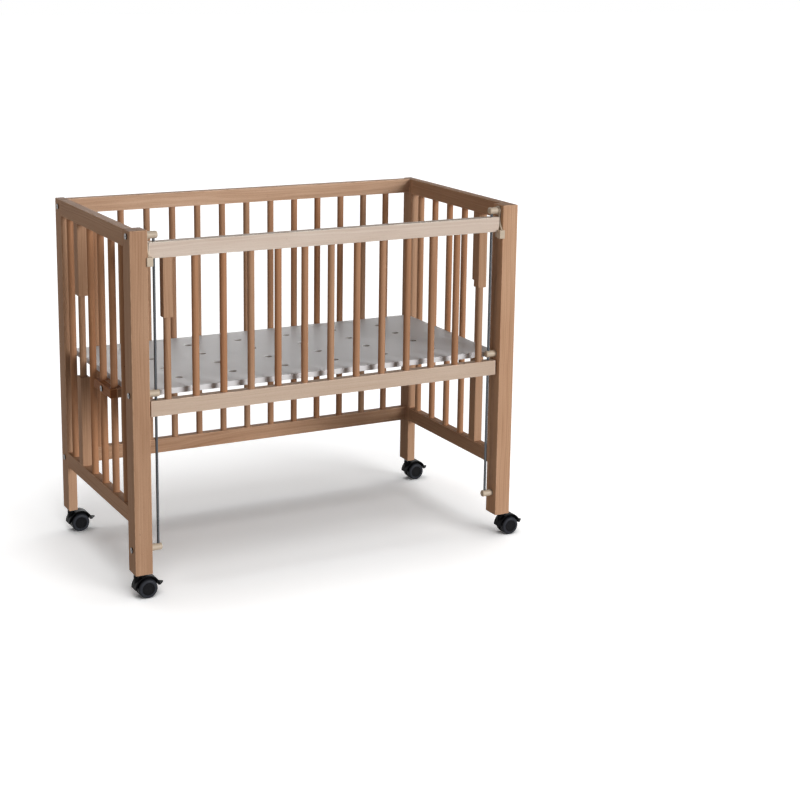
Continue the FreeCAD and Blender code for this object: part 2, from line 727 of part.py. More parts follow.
def clamp_nut_disc(gap):
    start = -CLAMP_INNER_FACE - CLAMP_NUT_THICKNESS - gap
    return cylinder(start, clamp_y(), CLAMP_MID_Z, X, CLAMP_NUT_THICKNESS + 2 * gap, CLAMP_NUT_RADIUS + gap)


def clamp_nut_pocket():
    return clamp_nut_disc(PRESS_GAP)


def clamp_nut():
    """Round insert nut, flush with the inner block's face."""
    thread = cylinder(-END_FACE, clamp_y(), CLAMP_MID_Z, X, 2 * CLAMP_INNER_THICKNESS + RAIL_THICKNESS,
                      BOLT_RADIUS + PRESS_GAP)
    return clamp_nut_disc(0.0).cut(thread)


# Casters, drawn about the middle of the axle


def rim_edges(disc, y):
    """The round edges of a disc in one plane across its axle."""
    flat = [edge for edge in disc.Edges if edge.BoundBox.YLength < 0.01]
    return [edge for edge in flat if abs(edge.BoundBox.Center.y - y) < 0.01]


def wheel():
    """Right-hand wheel of a pair, its outer face towards +Y, bored from inside for the axle."""
    inner = WHEEL_SPACING / 2
    outer = inner + WHEEL_WIDTH
    disc = cylinder(0, inner, 0, Y, WHEEL_WIDTH, WHEEL_RADIUS)
    disc = disc.makeFillet(WHEEL_OUTER_ROUNDING, rim_edges(disc, outer))
    disc = disc.makeFillet(WHEEL_INNER_ROUNDING, rim_edges(disc, inner))
    groove_radius = HUB_CAP_RADIUS + HUB_GROOVE_WIDTH
    groove = cylinder(0, outer - HUB_GROOVE_DEPTH, 0, Y, 2 * HUB_GROOVE_DEPTH, groove_radius)
    groove = groove.cut(cylinder(0, inner, 0, Y, 2 * WHEEL_WIDTH, HUB_CAP_RADIUS))
    dish = cylinder(0, outer - HUB_DISH_DEPTH, 0, Y, 2 * HUB_DISH_DEPTH, HUB_DISH_RADIUS)
    pocket = cylinder(0, inner - 1, 0, Y, BRAKE_RING_DEPTH + 1, BRAKE_RING_RADIUS)
    core = cylinder(0, inner - 2, 0, Y, BRAKE_RING_DEPTH + 3, HUB_CORE_RADIUS)
    pocket = pocket.cut([core] + brake_teeth(inner))
    axle_bore = cylinder(0, inner - 1, 0, Y, WHEEL_WIDTH + 1 - AXLE_CAP_WALL, AXLE_RADIUS + RUNNING_GAP)
    return disc.cut([groove, dish, pocket, axle_bore])


def brake_teeth(inner):
    """Teeth that point inwards from the rim of the brake ring."""
    teeth = []
    for step in range(BRAKE_TOOTH_COUNT):
        tooth = box((BRAKE_RING_RADIUS - BRAKE_TOOTH_HEIGHT, BRAKE_RING_RADIUS + 1),
                    (inner - 2, inner + BRAKE_RING_DEPTH + 1),
                    (-BRAKE_TOOTH_WIDTH / 2, BRAKE_TOOTH_WIDTH / 2))
        tooth.rotate(Vector(0, 0, 0), Y, 360.0 * step / BRAKE_TOOTH_COUNT)
        teeth.append(tooth)
    return teeth


def stem_boss():
    """Boss that holds the stem: it runs down the back of the hood and stays clear of the wheels."""
    foot = math.sqrt(HOOD_RADIUS ** 2 - (CASTER_TRAIL + STEM_BOSS_RADIUS) ** 2)
    boss = cylinder(-CASTER_TRAIL, 0, foot, Z, STEM_BOSS_TOP - WHEEL_RADIUS - foot, STEM_BOSS_RADIUS)
    return boss.cut(cylinder(0, -HOOD_WIDTH, 0, Y, 2 * HOOD_WIDTH, WHEEL_RADIUS + STEM_BOSS_CLEARANCE))


def parting_groove():
    """Shallow line round the middle of the hood, which stops at the stem boss."""
    groove = cylinder(0, -HOOD_GROOVE_WIDTH / 2, 0, Y, HOOD_GROOVE_WIDTH, HOOD_RADIUS + 1)
    return groove.cut([cylinder(0, -HOOD_WIDTH, 0, Y, 2 * HOOD_WIDTH, HOOD_RADIUS - HOOD_GROOVE_DEPTH),
                       cylinder(-CASTER_TRAIL, 0, 0, Z, 2 * HOOD_RADIUS, STEM_BOSS_RADIUS)])


def caster_hood():
    """Hood over both wheels, with the web between them, the axle boss and the stem boss."""
    half = HOOD_WIDTH / 2
    hood = cylinder(0, -half, 0, Y, HOOD_WIDTH, HOOD_RADIUS)
    hood = hood.makeFillet(HOOD_ROUNDING, rim_edges(hood, half) + rim_edges(hood, -half))
    hollow = cylinder(0, -half - 1, 0, Y, HOOD_WIDTH + 2, HOOD_RADIUS - HOOD_WALL)
    web = cylinder(0, -WEB_THICKNESS / 2, 0, Y, WEB_THICKNESS, HOOD_RADIUS - HOOD_WALL / 2)
    below = box((-2 * HOOD_RADIUS, 2 * HOOD_RADIUS), (-HOOD_WIDTH, HOOD_WIDTH), (-2 * HOOD_RADIUS, 0))
    front = box((0, 2 * HOOD_RADIUS), (-HOOD_WIDTH, HOOD_WIDTH), (-HOOD_RADIUS, HOOD_FRONT_EDGE_RISE))
    shell = hood.cut([hollow, below, front])
    pedal_room = box((PEDAL_PIVOT_X + PEDAL_EYE_RADIUS, HOOD_RADIUS), (-half, half),
                     (-1, HOOD_FRONT_EDGE_RISE))
    axle_boss = cylinder(0, -WEB_THICKNESS / 2, 0, Y, WEB_THICKNESS, AXLE_BOSS_RADIUS)
    body = fuse([shell, web.cut([below, pedal_room]), axle_boss, stem_boss()])
    tools = [
        parting_groove(),
        cylinder(0, -half, 0, Y, HOOD_WIDTH, AXLE_RADIUS + PRESS_GAP),
        stem_pin(PRESS_GAP),
        pedal_slot(),
        pedal_pin(RUNNING_GAP),
    ]
    return body.cut(tools)


def stem_pin(gap):
    """Steel stem from the seat in its boss to the ceiling of the socket."""
    bottom = STEM_BOSS_TOP - STEM_SEAT_DEPTH - WHEEL_RADIUS - gap
    top = POST_BOTTOM + SOCKET_DEPTH - SOCKET_CEILING - SEAT_GAP - WHEEL_RADIUS
    return cylinder(-CASTER_TRAIL, 0, bottom, Z, top - bottom, STEM_RADIUS + gap)


def caster_pins():
    """Stem and axle, both steel."""
    half = WHEEL_SPACING / 2 + WHEEL_WIDTH - AXLE_CAP_WALL - SEAT_GAP
    return group([stem_pin(0.0), cylinder(0, -half, 0, Y, 2 * half, AXLE_RADIUS)])


def pedal_slot():
    """Slot in the web that the pedal's tongue swings in."""
    half = PEDAL_TONGUE_THICKNESS / 2 + SEAT_GAP
    reach = PEDAL_EYE_RADIUS + SEAT_GAP
    eye = cylinder(PEDAL_PIVOT_X, -half, PEDAL_PIVOT_RISE, Y, 2 * half, reach)
    mouth = box((PEDAL_PIVOT_X, 2 * HOOD_RADIUS), (-half, half),
                (PEDAL_RISE - PEDAL_REACH / 2, PEDAL_PIVOT_RISE + reach))
    under = box((PEDAL_PIVOT_X - reach, 2 * HOOD_RADIUS), (-half, half), (-HOOD_RADIUS, PEDAL_PIVOT_RISE))
    keep = cylinder(0, -half, 0, Y, 2 * half, AXLE_BOSS_RADIUS)
    inside = cylinder(0, -half, 0, Y, 2 * half, HOOD_RADIUS - HOOD_WALL)
    return fuse([eye, mouth.common(inside), under.cut(keep)])


def pedal_pin(gap):
    """Trunnions of the pedal, in the web's two cheeks."""
    radius = PEDAL_PIVOT_RADIUS + gap
    return cylinder(PEDAL_PIVOT_X, -WEB_THICKNESS / 2, PEDAL_PIVOT_RISE, Y, WEB_THICKNESS, radius)


def pedal_plan():
    """Outline of the paddle from above: a wide root that tapers, straight on to a round tip."""
    shoulder = PEDAL_START + PEDAL_ROOT_LENGTH
    half = PEDAL_ROOT_WIDTH / 2
    tip_centre = PEDAL_REACH - PEDAL_TIP_RADIUS
    slant = math.hypot(tip_centre - shoulder, half)
    turn = math.atan2(half, shoulder - tip_centre) - math.acos(PEDAL_TIP_RADIUS / slant)
    touch = Vector(tip_centre + PEDAL_TIP_RADIUS * math.cos(turn), PEDAL_TIP_RADIUS * math.sin(turn), 0)
    side = [touch, Vector(shoulder, half, 0), Vector(PEDAL_START, half, 0)]
    points = side + [Vector(point.x, -point.y, 0) for point in reversed(side)]
    edges = [Part.LineSegment(*pair).toShape() for pair in zip(points, points[1:])]
    edges.append(Part.Arc(points[-1], Vector(PEDAL_REACH, 0, 0), points[0]).toShape())
    return Part.Face(Part.Wire(edges))


def pedal_profile():
    """Outline of the paddle from the side: it thins towards a lifted tip along two shallow arcs."""
    middle = (PEDAL_START + PEDAL_REACH) / 2
    tip_bottom = PEDAL_RISE + PEDAL_TIP_LIFT
    root_top = PEDAL_RISE + PEDAL_ROOT_THICKNESS
    tip_top = tip_bottom + PEDAL_TIP_THICKNESS
    sag = PEDAL_TIP_LIFT / 2
    corners = [Vector(PEDAL_START, 0, PEDAL_RISE), Vector(PEDAL_REACH, 0, tip_bottom),
               Vector(PEDAL_REACH, 0, tip_top), Vector(PEDAL_START, 0, root_top)]
    bottom_middle = Vector(middle, 0, (PEDAL_RISE + tip_bottom - sag) / 2)
    top_middle = Vector(middle, 0, (root_top + tip_top) / 2 - sag)
    edges = [
        Part.Arc(corners[0], bottom_middle, corners[1]).toShape(),
        Part.LineSegment(corners[1], corners[2]).toShape(),
        Part.Arc(corners[2], top_middle, corners[3]).toShape(),
        Part.LineSegment(corners[3], corners[0]).toShape(),
    ]
    face = Part.Face(Part.Wire(edges))
    face.translate(Y * -PEDAL_ROOT_WIDTH)
    return face


def brake_pedal():
    """Foot pedal: a paddle in front of the wheels on a tongue between them."""
    plan = pedal_plan().extrude(Z * HOOD_RADIUS)
    paddle = plan.common(pedal_profile().extrude(Y * (2 * PEDAL_ROOT_WIDTH)))
    paddle = paddle.makeFillet(PEDAL_ROUNDING, paddle.Edges)
    half = PEDAL_TONGUE_THICKNESS / 2
    eye = cylinder(PEDAL_PIVOT_X, -half, PEDAL_PIVOT_RISE, Y, PEDAL_TONGUE_THICKNESS, PEDAL_EYE_RADIUS)
    arm = box((PEDAL_PIVOT_X, PEDAL_START + 2 * PEDAL_ROUNDING), (-half, half),
              (PEDAL_RISE + PEDAL_ROUNDING / 2, PEDAL_RISE + PEDAL_ROOT_THICKNESS - PEDAL_ROUNDING))
    return fuse([paddle, eye, arm, pedal_pin(0.0)])


def caster_socket(side, end):
    """Collar and sleeve in a post's foot that the stem turns in."""
    x = side * CASTER_STEM_X
    y = end * POST_CENTRE_Y
    collar = cylinder(x, y, POST_BOTTOM - SOCKET_COLLAR_HEIGHT, Z, SOCKET_COLLAR_HEIGHT, SOCKET_COLLAR_RADIUS)
    length = SOCKET_COLLAR_HEIGHT + SOCKET_DEPTH
    sleeve = cylinder(x, y, POST_BOTTOM - SOCKET_COLLAR_HEIGHT, Z, length, SOCKET_RADIUS)
    bore = cylinder(x, y, POST_BOTTOM - SOCKET_COLLAR_HEIGHT - 1, Z, length - SOCKET_CEILING + 1,
                    STEM_RADIUS + RUNNING_GAP)
    return fuse([collar, sleeve]).cut(bore)


def caster_sockets():
    return group([caster_socket(side, end) for side in SIDES.values() for end in ENDS.values()])


def placed_caster_piece(shape, side, end):
    """A caster piece moved from the axle's middle to its corner of the crib."""
    copy = shape.copy()
    copy.translate(Vector(side * CASTER_STEM_X + CASTER_TRAIL, end * POST_CENTRE_Y, WHEEL_RADIUS))
    return copy


# Assembly


def frame_nodes():
    nodes = {}
    left_end = {
        "end_top_rail": end_rail(END_TOP_RAIL_UNDERSIDE, HEIGHT),
        "end_bottom_rail": end_rail(BOTTOM_RAIL_UNDERSIDE, END_BOTTOM_RAIL_TOP),
        "end_bars": end_bars(),
        "end_block_bar": end_block_bar(),
    }
    for word, side in SIDES.items():
        nodes[f"post_front_{word}"] = front_post(side)
        nodes[f"post_rear_{word}"] = rear_post(side)
        nodes[f"guide_rod_{word}"] = guide_rod(side)
        for name, shape in left_end.items():
            nodes[f"{name}_{word}"] = turned(shape, side)
    nodes["rear_top_rail"] = rear_rail(REAR_TOP_RAIL_UNDERSIDE, HEIGHT)
    nodes["rear_bottom_rail"] = rear_rail(BOTTOM_RAIL_UNDERSIDE, REAR_BOTTOM_RAIL_TOP)
    nodes["rear_bars"] = rear_bars()
    nodes["frame_dowels"] = frame_dowels()
    nodes["rear_bolts"] = rear_bolts()
    nodes["barrel_nuts"] = barrel_nuts()
    nodes["rod_pegs"] = rod_pegs()
    nodes["peg_bolts"] = peg_bolts()
    nodes["caster_sockets"] = caster_sockets()
    return nodes


def gate_nodes():
    return {
        "gate_top_rail": gate_rail(GATE_TOP_RAIL_UNDERSIDE, GATE_TOP),
        "gate_bottom_rail": gate_rail(GATE_BOTTOM, GATE_BOTTOM_RAIL_TOP),
        "gate_bars": gate_bars(),
        "gate_block_bar_left": gate_block_bar(0),
        "gate_block_bar_right": gate_block_bar(LONG_BAR_COUNT - 1),
        "gate_bushings": gate_bushings(),
    }


def latch_nodes():
    right_latch = latch()
    return {f"latch_{word}": mirrored(right_latch, side) for word, side in SIDES.items()}


def base_nodes():
    nodes = {"bed_board": bed_board()}
    for word, side in SIDES.items():
        nodes[f"clamp_outer_{word}"] = turned(clamp_outer(), side)
        nodes[f"clamp_inner_{word}"] = turned(clamp_inner(), side)
    nodes["clamp_bolts"] = group([turned(clamp_bolt(), side) for side in SIDES.values()])
    nodes["clamp_nuts"] = group([turned(clamp_nut(), side) for side in SIDES.values()])
    return nodes


def caster_nodes():
    rear_wheel = wheel()
    pieces = {
        "hood": caster_hood(),
        "pins": caster_pins(),
        "wheel_front": rear_wheel.mirror(Vector(0, 0, 0), Y),
        "wheel_rear": rear_wheel,
        "pedal": brake_pedal(),
    }
    nodes = {}
    for end_word, end in ENDS.items():
        for word, side in SIDES.items():
            for name, shape in pieces.items():
                nodes[f"caster_{end_word}_{word}_{name}"] = placed_caster_piece(shape, side, end)
    return nodes


def main():
    os.makedirs("parts", exist_ok=True)
    nodes = {**frame_nodes(), **gate_nodes(), **latch_nodes(), **base_nodes(), **caster_nodes()}
    for name, shape in nodes.items():
        shape.translate(Vector(-MIDDLE_X, 0, 0))
        shape.exportStep(f"parts/{name}.step")
        print(name, len(shape.Solids), shape.isValid(), round(shape.Volume / 1000, 2))


if __name__ == "__main__":
    main()
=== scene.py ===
import json
import math

import bpy
from mathutils import Matrix, Vector


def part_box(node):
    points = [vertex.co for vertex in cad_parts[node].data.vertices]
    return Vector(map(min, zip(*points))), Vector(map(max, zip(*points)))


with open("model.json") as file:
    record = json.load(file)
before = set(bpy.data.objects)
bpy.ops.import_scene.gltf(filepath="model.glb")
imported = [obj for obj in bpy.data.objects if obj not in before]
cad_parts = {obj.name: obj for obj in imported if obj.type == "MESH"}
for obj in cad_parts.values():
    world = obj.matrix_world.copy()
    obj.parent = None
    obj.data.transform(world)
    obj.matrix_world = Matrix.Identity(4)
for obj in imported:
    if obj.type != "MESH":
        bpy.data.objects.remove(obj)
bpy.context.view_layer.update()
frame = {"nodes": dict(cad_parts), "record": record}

NODES = frame["nodes"]
RECORD = frame["record"]


# ---------------------------------------------------------------- camera

# The photograph's viewpoint, in metres and degrees, found from the corners of the crib's posts
CAMERA_PLACE = (-1.6328, -3.5370, 1.4055)
CAMERA_YAW = 28.50
CAMERA_PITCH = 11.90
CAMERA_ROLL = 0.86
CAMERA_REACH = 50.0
SENSOR_WIDTH = 36.0
FRAME_PIXELS = 800.0
FOCAL_PIXELS = 1656.9
FRAMING_SHIFT_Y = -0.125


def make_camera():
    yaw = math.radians(CAMERA_YAW)
    pitch = math.radians(CAMERA_PITCH)
    roll = math.radians(CAMERA_ROLL)
    forward = Vector((math.sin(yaw) * math.cos(pitch), math.cos(yaw) * math.cos(pitch), -math.sin(pitch)))
    level_right = Vector((math.cos(yaw), -math.sin(yaw), 0))
    level_up = level_right.cross(forward)
    right = math.cos(roll) * level_right + math.sin(roll) * level_up
    up = math.cos(roll) * level_up - math.sin(roll) * level_right
    data = bpy.data.cameras.new("camera")
    data.sensor_width = SENSOR_WIDTH
    data.lens = FOCAL_PIXELS / FRAME_PIXELS * SENSOR_WIDTH
    data.shift_y = FRAMING_SHIFT_Y
    data.clip_end = CAMERA_REACH
    camera = bpy.data.objects.new("camera", data)
    turn = Matrix((right, up, -forward)).transposed()
    camera.matrix_world = Matrix.Translation(CAMERA_PLACE) @ turn.to_4x4()
    bpy.context.scene.collection.objects.link(camera)
    bpy.context.scene.camera = camera


# ---------------------------------------------------------------- shader helpers

# Most of a noise's values lie between these two
NOISE_LOW = 0.3
NOISE_HIGH = 0.7


def scaled(colour, factor):
    """A colour made darker or lighter, up to white."""
    return tuple(min(1.0, factor * channel) for channel in colour)


class Shader:
    """A node material built one node at a time. Colours are linear, lengths are metres."""

    def __init__(self, name):
        self.material = bpy.data.materials.new(name)
        self.material.use_nodes = True
        self.tree = self.material.node_tree
        self.tree.nodes.clear()

    def add(self, kind, inputs=None, **settings):
        """A node with its settings, its inputs set to values or linked from other nodes' outputs."""
        node = self.tree.nodes.new(kind)
        for key, value in settings.items():
            setattr(node, key, value)
        for key, value in (inputs or {}).items():
            if isinstance(value, bpy.types.NodeSocket):
                self.tree.links.new(value, node.inputs[key])
            else:
                node.inputs[key].default_value = value
        return node

    def math(self, operation, first, second=0.0):
        return self.add("ShaderNodeMath", {0: first, 1: second}, operation=operation).outputs[0]

    def blend(self, *parts):
        """Sum of values, each times its share."""
        total = self.math("MULTIPLY", *parts[0])
        for part in parts[1:]:
            total = self.math("ADD", total, self.math("MULTIPLY", *part))
        return total

    def radius(self, first, second):
        """Distance from an axis, from the two coordinates square to it."""
        squares = [self.math("MULTIPLY", side, side) for side in (first, second)]
        return self.math("SQRT", self.math("ADD", *squares))

    def position(self):
        """Place on the object."""
        return self.add("ShaderNodeTexCoord").outputs["Object"]

    def facing(self, axis):
        """How squarely the surface faces along an axis, from 0 to 1."""
        normal = self.split(self.add("ShaderNodeTexCoord").outputs["Normal"])[axis]
        return self.math("ABSOLUTE", normal)

    def split(self, vector):
        return self.add("ShaderNodeSeparateXYZ", {0: vector}).outputs

    def join(self, x, y, z):
        return self.add("ShaderNodeCombineXYZ", {0: x, 1: y, 2: z}).outputs[0]

    def noise(self, vector, scale, detail, roughness=0.5):
        inputs = {"Vector": vector, "Scale": scale, "Detail": detail, "Roughness": roughness}
        return self.add("ShaderNodeTexNoise", inputs).outputs["Fac"]

    def lines(self, value, detail, roughness=0.5):
        """Noise that changes along one value only, about once per unit."""
        return self.noise(self.join(value, 0.0, 0.0), 1.0, detail, roughness)

    def fibres(self, axes, cells, detail, roughness=0.5):
        """Noise drawn out along the grain, with the given cells per metre along it and across it."""
        counts = (cells[0], cells[1], cells[1])
        place = self.join(*(self.math("MULTIPLY", axis, count) for axis, count in zip(axes, counts)))
        return self.noise(place, 1.0, detail, roughness)

    def stretch(self, value, low, high, to_low=0.0, to_high=1.0):
        inputs = {"Value": value, "From Min": low, "From Max": high, "To Min": to_low, "To Max": to_high}
        return self.add("ShaderNodeMapRange", inputs).outputs[0]

    def spread(self, noise, to_low=0.0, to_high=1.0):
        """A noise's usual range drawn out to the given one."""
        return self.stretch(noise, NOISE_LOW, NOISE_HIGH, to_low, to_high)

    def ramp(self, value, colours):
        """Colours in even steps from 0 to 1."""
        node = self.add("ShaderNodeValToRGB", {0: value})
        elements = node.color_ramp.elements
        while len(elements) < len(colours):
            elements.new(0.5)
        for step, colour in enumerate(colours):
            elements[step].position = step / (len(colours) - 1)
            elements[step].color = (*colour, 1.0)
        return node.outputs[0]

    def mix(self, share, first, second, blend="MIX"):
        node = self.add("ShaderNodeMix", data_type="RGBA", blend_type=blend)
        for socket, value in ((node.inputs[0], share), (node.inputs[6], first), (node.inputs[7], second)):
            if isinstance(value, bpy.types.NodeSocket):
                self.tree.links.new(value, socket)
            else:
                socket.default_value = (*value, 1.0)
        return node.outputs[2]

    def face_distance(self, axis, low, high):
        """Depth under the nearer of a box's two faces square to an axis."""
        off = self.math("SUBTRACT", self.split(self.position())[axis], (low[axis] + high[axis]) / 2)
        return self.math("SUBTRACT", (high[axis] - low[axis]) / 2, self.math("ABSOLUTE", off))

    def edge_distance(self, low, high):
        """Distance from the nearest edge of a box, for a point on its surface."""
        gaps = [self.face_distance(axis, low, high) for axis in range(3)]
        smaller = self.math("MINIMUM", gaps[0], gaps[1])
        larger = self.math("MAXIMUM", gaps[0], gaps[1])
        return self.math("MAXIMUM", smaller, self.math("MINIMUM", larger, gaps[2]))

    def bump(self, height, strength, distance):
        inputs = {"Height": height, "Strength": strength, "Distance": distance}
        return self.add("ShaderNodeBump", inputs).outputs[0]

    def finish(self, **inputs):
        """Principled surface with the given inputs, written with underscores for spaces."""
        named = {key.replace("_", " "): value for key, value in inputs.items()}
        surface = self.add("ShaderNodeBsdfPrincipled", named)
        self.add("ShaderNodeOutputMaterial", {0: surface.outputs[0]})
        return self.material


# ---------------------------------------------------------------- wood

# Axes along the grain, across it and over it
GRAIN_AXES = {"X": (0, 1, 2), "Y": (1, 2, 0), "Z": (2, 0, 1)}
GRAIN_OF = {"post": "Z", "end_top": "Y", "end_bottom": "Y", "end_bars": "Z", "end_block": "Z",
            "rear_top": "X", "rear_bottom": "X", "rear_bars": "Z", "gate_top": "X", "gate_bottom": "X",
            "gate_bars": "Z", "gate_block": "Z", "clamp": "Y", "frame_dowels": "Z"}

# Dark, middle and light tone of each sort of beech in the crib
BEECH = ((0.325, 0.176, 0.100), (0.445, 0.265, 0.165), (0.53, 0.338, 0.222))
WARM_BEECH = tuple(scaled(tone, 1.2) for tone in BEECH)
SOFT_BEECH = ((0.40, 0.236, 0.145), (0.55, 0.356, 0.24), (0.655, 0.45, 0.322))
PALE_BEECH = ((0.49, 0.355, 0.262), (0.575, 0.44, 0.342), (0.64, 0.508, 0.41))
PALEST_BEECH = ((0.58, 0.448, 0.362), (0.67, 0.553, 0.467), (0.74, 0.635, 0.555))
RED_BEECH = ((0.225, 0.085, 0.034), (0.33, 0.14, 0.06), (0.40, 0.19, 0.09))
TONES_OF = {"gate_top_rail": PALEST_BEECH, "gate_bottom_rail": PALE_BEECH, "rear_top_rail": SOFT_BEECH,
            "post_front_right": WARM_BEECH, "clamp_outer_left": RED_BEECH, "clamp_outer_right": RED_BEECH}

# How far the pattern moves along, across and over the grain for each unit of a piece's draw
GRAIN_STEPS = (1.7, 0.37, 0.21)
SEED_STEP = 1.618
BAR_CELL = 0.0327
BAR_DRAW_SPAN = 3.0
BAR_DRAW_START = 0.5
RUDDY = (0.96, 0.80, 0.68)

# The tree's pith beside the piece, and the rings about it
PITH_ACROSS = 0.055
PITH_OVER = 0.031
RING_WANDER = 0.028
RINGS_PER_METRE = 330.0

# Cells per metre along and across the grain
WANDER_CELLS = (2.2, 9.0)
BROAD_CELLS = (3.0, 16.0)
STREAK_CELLS = (9.0, 420.0)
FLECK_CELLS = (330.0, 2300.0)

# Shares of rings, broad zones and streaks in the tone
RING_SHARE = 0.42
BROAD_SHARE = 0.33
STREAK_SHARE = 0.25
TONE_LOW = 0.34
TONE_HIGH = 0.66

# Ray flecks and end grain, as shares of a darkened dark tone
FLECK_LOW = 0.62
FLECK_HIGH = 0.72
FLECK_SHADE = 0.62
END_GRAIN_FROM = 0.75
END_GRAIN_TO = 0.95
END_GRAIN_SHADE = 0.72
DARK_SHARE = 0.45

# Pin knots: cells per metre, drawn out along the grain, and the share of cells that hold one
PIP_CELLS = 42.0
PIP_DRAWN_OUT = 0.6
PIP_SIZE = 0.055
PIP_CORE = 0.4
PIP_SHARE = 0.35
PIP_DARKNESS = 0.7
PIP_SHADE = 0.30

# Painted highlight along the edges: a pale band of varying width that stands in for the glint on the rounded
# edges
EDGE_HIGHLIGHT_CELLS = 45.0
EDGE_HIGHLIGHT_LOW = 0.0005
EDGE_HIGHLIGHT_HIGH = 0.0016
EDGE_HIGHLIGHT_SHARE = 0.55
EDGE_HIGHLIGHT_TONE = 1.5

# Surface: open pores along the streaks and flecks, with hardly any sheen
STREAK_HEIGHT = 0.6
FLECK_HEIGHT = 0.4
WOOD_BUMP = 0.18
WOOD_RELIEF = 0.0003
WOOD_ROUGHNESS = (0.40, 0.54)
WOOD_GLOSS = 0.015


def bar_draw(shader, axes, seed):
    """A random number and a random ruddiness for each of the bars that share a node."""
    cell_x = shader.math("ROUND", shader.math("DIVIDE", axes[0], BAR_CELL))
    cell_y = shader.math("ROUND", shader.math("DIVIDE", axes[1], BAR_CELL))
    random = shader.add("ShaderNodeTexWhiteNoise", {"Vector": shader.join(cell_x, cell_y, seed)})
    draw = shader.math("MULTIPLY", random.outputs["Value"], BAR_DRAW_SPAN)
    draw = shader.math("ADD", draw, BAR_DRAW_START)
    return draw, shader.split(random.outputs["Color"])[1]


def pin_knots(shader, along, across, over):
    """Share of a small dark knot at each place."""
    place = shader.join(shader.math("MULTIPLY", along, PIP_DRAWN_OUT), across, over)
    cells = shader.add("ShaderNodeTexVoronoi", {"Vector": place, "Scale": PIP_CELLS}).outputs
    chosen = shader.math("LESS_THAN", shader.split(cells["Color"])[0], PIP_SHARE)
    knot = shader.stretch(cells["Distance"], PIP_CORE * PIP_SIZE, PIP_SIZE, PIP_DARKNESS, 0.0)
    return shader.math("MULTIPLY", chosen, knot)


def wood(name, tones, grain, several_bars, seed, highlight_box):
    """Oiled beech: growth rings, streaks, ray flecks, end grain, pin knots, and a painted highlight along the
    edges.
    """
    dark, _, light = tones
    shader = Shader(name)
    axes = shader.split(shader.position())
    draw = seed
    if several_bars:
        draw, ruddiness = bar_draw(shader, axes, seed)
    moved = [shader.math("ADD", axes[axis], shader.math("MULTIPLY", draw, step))
             for axis, step in zip(GRAIN_AXES[grain], GRAIN_STEPS)]
    wander = shader.fibres(moved, WANDER_CELLS, detail=3.0)
    broad = shader.fibres(moved, BROAD_CELLS, detail=2.0)
    streaks = shader.fibres(moved, STREAK_CELLS, detail=4.0, roughness=0.6)
    flecks = shader.fibres(moved, FLECK_CELLS, detail=1.0)

    from_pith = shader.radius(shader.math("ADD", moved[1], PITH_ACROSS),
                              shader.math("ADD", moved[2], PITH_OVER))
    wandered = shader.math("ADD", from_pith, shader.math("MULTIPLY", wander, RING_WANDER))
    rings = shader.lines(shader.math("MULTIPLY", wandered, RINGS_PER_METRE), detail=3.0, roughness=0.6)
    tone = shader.blend((rings, RING_SHARE), (broad, BROAD_SHARE), (streaks, STREAK_SHARE))
    colour = shader.ramp(shader.stretch(tone, TONE_LOW, TONE_HIGH), tones)
    if several_bars:
        colour = shader.mix(ruddiness, colour, RUDDY, "MULTIPLY")

    fleck = shader.stretch(flecks, FLECK_LOW, FLECK_HIGH, 0.0, DARK_SHARE)
    colour = shader.mix(fleck, colour, scaled(dark, FLECK_SHADE))
    facing = shader.facing(GRAIN_AXES[grain][0])
    end_grain = shader.stretch(facing, END_GRAIN_FROM, END_GRAIN_TO, 0.0, DARK_SHARE)
    colour = shader.mix(end_grain, colour, scaled(dark, END_GRAIN_SHADE))
    colour = shader.mix(pin_knots(shader, *moved), colour, scaled(dark, PIP_SHADE))
    # Painted highlight: a pale band along the edges of the piece's box, standing in for the glint on its
    # rounded edges
    if highlight_box:
        rim_noise = shader.noise(shader.position(), EDGE_HIGHLIGHT_CELLS, detail=3.0)
        width = shader.spread(rim_noise, EDGE_HIGHLIGHT_LOW, EDGE_HIGHLIGHT_HIGH)
        on_highlight = shader.math("LESS_THAN", shader.edge_distance(*highlight_box), width)
        highlight_share = shader.math("MULTIPLY", on_highlight, EDGE_HIGHLIGHT_SHARE)
        colour = shader.mix(highlight_share, colour, scaled(light, EDGE_HIGHLIGHT_TONE))

    height = shader.blend((streaks, STREAK_HEIGHT), (flecks, FLECK_HEIGHT))
    return shader.finish(Base_Color=colour, Roughness=shader.spread(streaks, *WOOD_ROUGHNESS),
                         Normal=shader.bump(height, WOOD_BUMP, WOOD_RELIEF), Specular_IOR_Level=WOOD_GLOSS)


# ---------------------------------------------------------------- plastic and steel

BEIGE = (0.55, 0.45, 0.34)
BEIGE_ROUGHNESS = 0.42
BEIGE_GLOSS = 0.3
BLACK = (0.0025, 0.0025, 0.003)
BLACK_ROUGHNESS = 0.40
BLACK_GLOSS = 0.05
PLASTIC_MOTTLE_CELLS = 60.0
PLASTIC_SHADES = (0.93, 1.07)
SPARK_CELLS = 2600.0
SPARK_ROUGHNESS = 0.06
SPARK_BUMP = 0.15
SPARK_RELIEF = 0.0002

STEEL = (0.62, 0.62, 0.63)
STEEL_ROUGHNESS = 0.25
ROD_STEEL = (0.09, 0.096, 0.105)
ROD_ROUGHNESS = 0.35
STEEL_WEAR_CELLS = 240.0
STEEL_WEAR_SHADE = 0.8
STEEL_SMOOTHER = 0.05
STEEL_ROUGHER = 0.08
STEEL_BUMP = 0.05
STEEL_RELIEF = 0.0001

BOLT_RECESS = (0.020, 0.019, 0.018)
BOLT_RIM = (0.17, 0.16, 0.155)
BOLT_RIM_DEPTH = 0.0005
BOLT_NOISE_CELLS = 700.0
BOLT_ROUGHNESS = (0.28, 0.42)
BOLT_BUMP = 0.08


